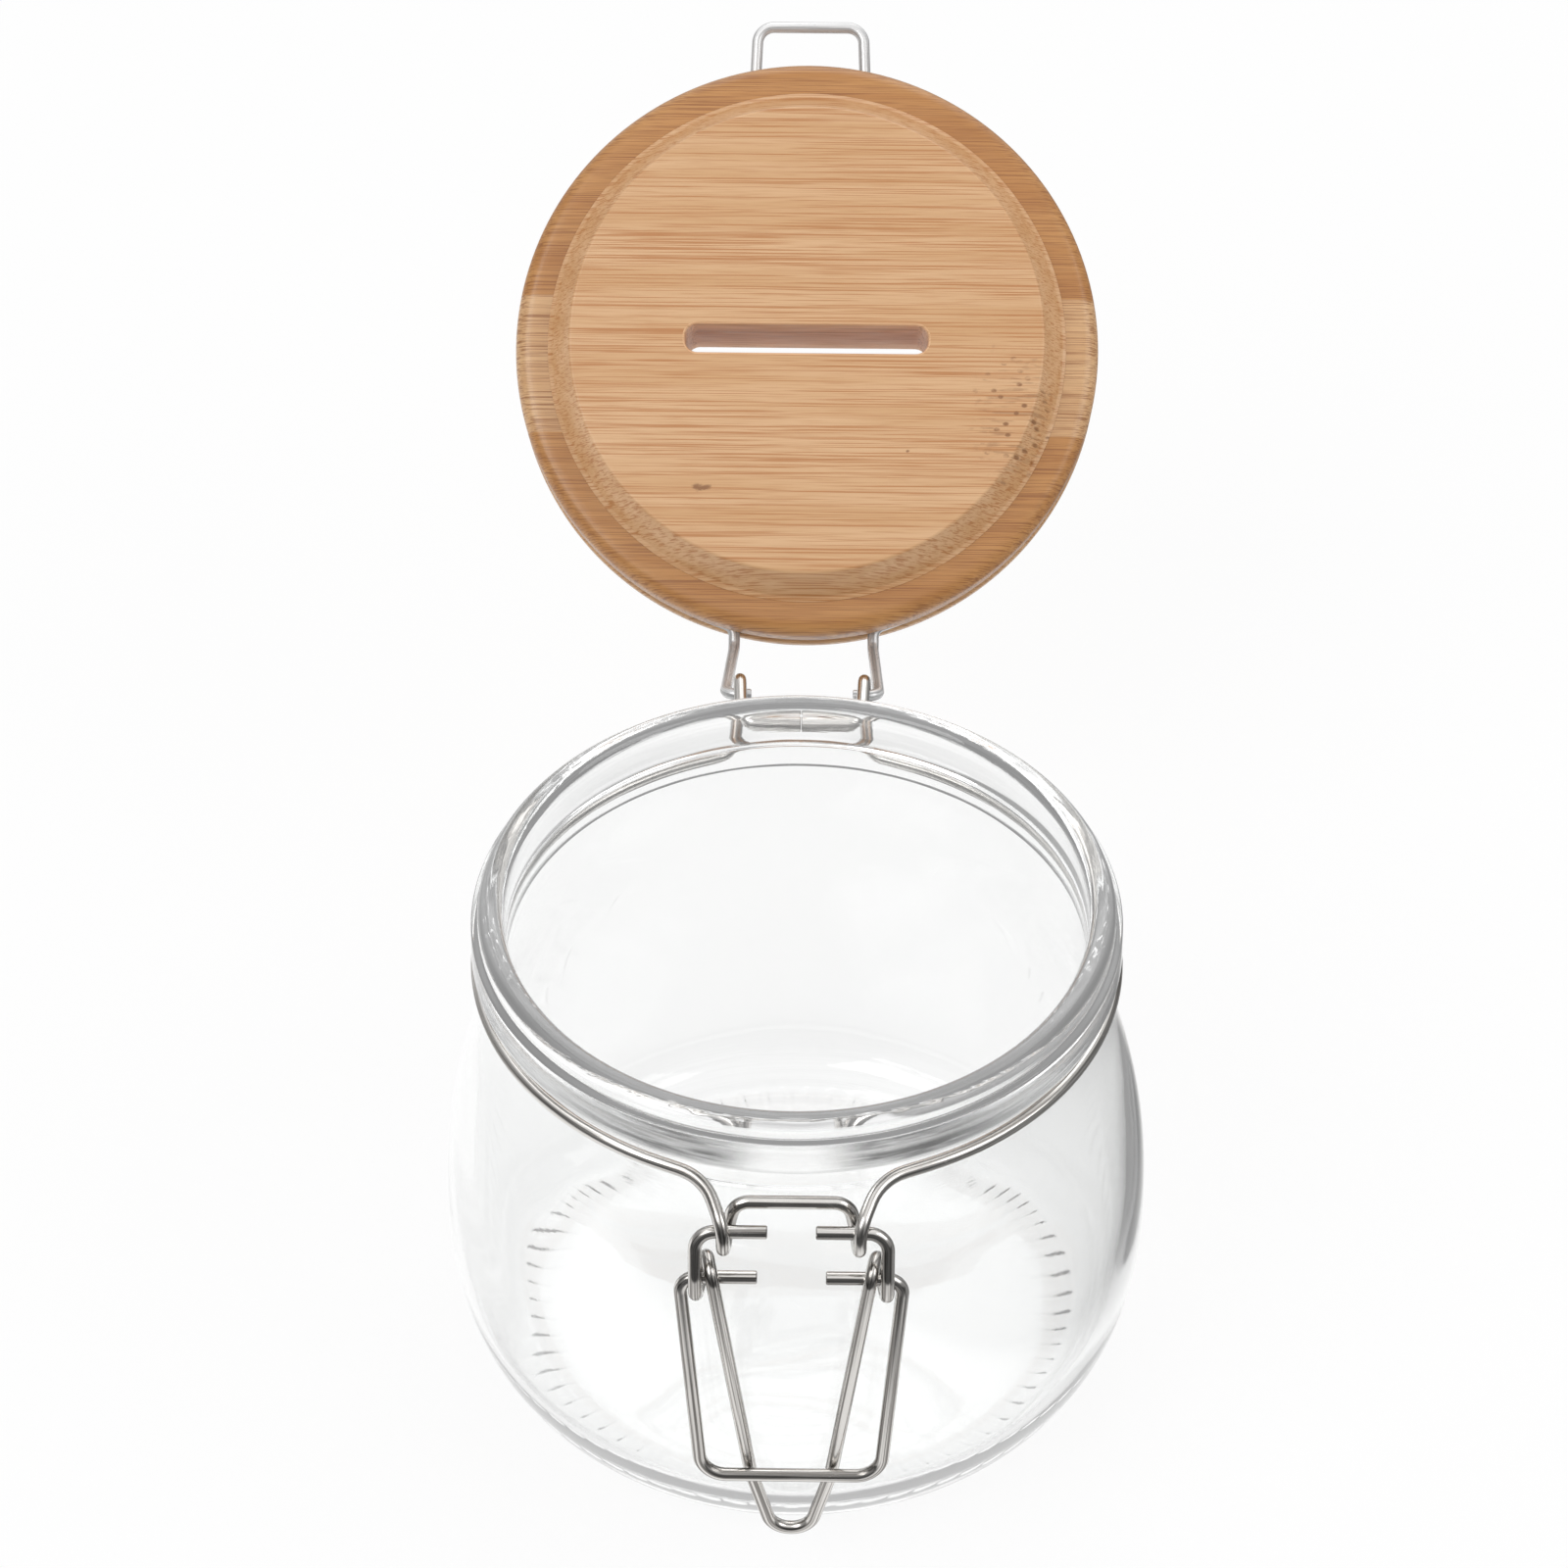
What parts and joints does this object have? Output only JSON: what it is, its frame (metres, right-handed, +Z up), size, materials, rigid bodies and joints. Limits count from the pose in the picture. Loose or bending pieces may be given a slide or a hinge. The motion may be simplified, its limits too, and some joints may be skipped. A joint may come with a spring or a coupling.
{
  "type": "clip-top glass jar",
  "caption": "Round-bellied clear glass jar with a wire clip closure: a slotted bamboo lid on a wire hinge, a V-shaped toggle lever and a bail that hooks over the lid's loop.",
  "frame": {"origin": "middle of the jar's flat underside, on the axis of the glass", "axes": "+Z up along the glass axis, -Y towards the clasp, +Y towards the lid's hinge and the opened lid, X along the hinge axes"},
  "size_m": [0.1124, 0.2236, 0.1424],
  "materials": {
    "clear_glass": "clear pressed glass, fire polished",
    "steel_wire": "bright drawn stainless wire",
    "plug_bamboo": "fine-grained light bamboo, satin lacquer",
    "rim_bamboo": "darker edge-glued bamboo strips, satin lacquer",
    "top_bamboo": "carbonised bamboo, satin lacquer"
  },
  "bodies": {
    "jar": {"glass_jar": "clear_glass", "collar_wire": "steel_wire"},
    "lid": {"lid_plug_board": "plug_bamboo", "lid_rim_board": "rim_bamboo", "lid_top_board": "top_bamboo", "lid_wire": "steel_wire"},
    "lever": {"lever_wire": "steel_wire"},
    "bail": {"bail_wire": "steel_wire"}
  },
  "joints": [
    {"name": "lid_hinge", "type": "hinge", "parent": "jar", "child": "lid", "pos_m": [0, 0.0605, 0.0795], "axis": [1, 0, 0], "range_deg": [0, 139.5]},
    {"name": "lever_pivot", "type": "hinge", "parent": "jar", "child": "lever", "pos_m": [0, -0.05402, 0.0721], "axis": [-1, 0, 0], "range_deg": [0, 105]},
    {"name": "bail_pivot", "type": "hinge", "parent": "lever", "child": "bail", "pos_m": [0, -0.05382, 0.0621], "axis": [-1, 0, 0], "range_deg": [0, 90]}
  ]
}
